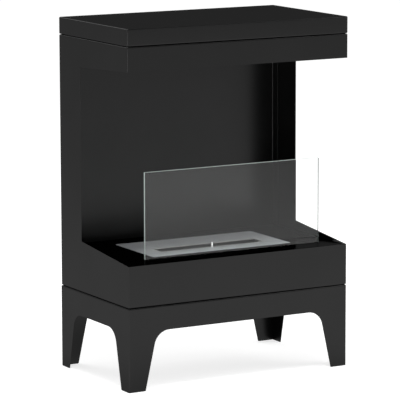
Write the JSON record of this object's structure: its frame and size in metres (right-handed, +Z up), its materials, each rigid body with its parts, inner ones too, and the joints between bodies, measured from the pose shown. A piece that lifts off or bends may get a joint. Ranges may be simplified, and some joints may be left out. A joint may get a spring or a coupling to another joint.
{
  "type": "bioethanol fireplace",
  "caption": "Free-standing black sheet-steel bioethanol fireplace on arched legs, open on three sides, with a drop-in steel burner, sliding damper and upright glass pane.",
  "frame": {"origin": "on the floor, under the middle of the cabinet's width and depth", "axes": "+Z up, +X to the right of a viewer who faces the front, +Y from the front to the back"},
  "size_m": [0.6, 0.346, 0.854],
  "materials": {
    "powder_coat": "satin black powder coat on sheet steel",
    "hearth_gloss": "gloss black heat-proof coat",
    "stainless": "brushed stainless steel",
    "polished_pin": "polished stainless steel",
    "zinc_steel": "bright zinc plate",
    "clear_glass": "clear toughened glass, ground edges",
    "silicone": "matt black silicone",
    "ceramic_fibre": "matt white ceramic fibre"
  },
  "bodies": {
    "cabinet": {"leg_frame": "powder_coat", "leg_frame_rear_apron": "powder_coat", "body_shell": "powder_coat", "back_panel": "powder_coat", "bottom_panel": "powder_coat", "hood_baffle": "powder_coat", "baffle_rail_left": "powder_coat", "baffle_rail_right": "powder_coat", "top_cap": "powder_coat", "hearth_plate": "hearth_gloss", "leg_bolt_front_left": "zinc_steel", "leg_bolt_front_right": "zinc_steel", "leg_bolt_rear_left": "zinc_steel", "leg_bolt_rear_right": "zinc_steel", "leg_nut_front_left": "zinc_steel", "leg_nut_front_right": "zinc_steel", "leg_nut_rear_left": "zinc_steel", "leg_nut_rear_right": "zinc_steel", "cap_bolt_front_left": "zinc_steel", "cap_bolt_front_right": "zinc_steel", "cap_bolt_rear_left": "zinc_steel", "cap_bolt_rear_right": "zinc_steel", "cap_nut_front_left": "zinc_steel", "cap_nut_front_right": "zinc_steel", "cap_nut_rear_left": "zinc_steel", "cap_nut_rear_right": "zinc_steel", "baffle_screw_front_left": "zinc_steel", "baffle_screw_front_right": "zinc_steel", "baffle_screw_rear_left": "zinc_steel", "baffle_screw_rear_right": "zinc_steel", "glass_channel": "zinc_steel", "glass_seal": "silicone"},
    "burner": {"burner_plate": "stainless", "burner_box": "stainless", "fuel_tank": "stainless", "damper_runner_left": "stainless", "damper_runner_right": "stainless", "ceramic_wool": "ceramic_fibre"},
    "damper": {"damper_slide": "stainless", "damper_pin": "polished_pin"},
    "pane": {"glass_pane": "clear_glass"}
  },
  "joints": [
    {"name": "burner_lift", "type": "slide", "parent": "cabinet", "child": "burner", "axis": [0, 0, 1], "range_m": [0, 0.1]},
    {"name": "damper_travel", "type": "slide", "parent": "burner", "child": "damper", "axis": [0, 1, 0], "range_m": [0, 0.0364]},
    {"name": "glass_lift", "type": "slide", "parent": "cabinet", "child": "pane", "axis": [0, 0, 1], "range_m": [0, 0.2]}
  ]
}
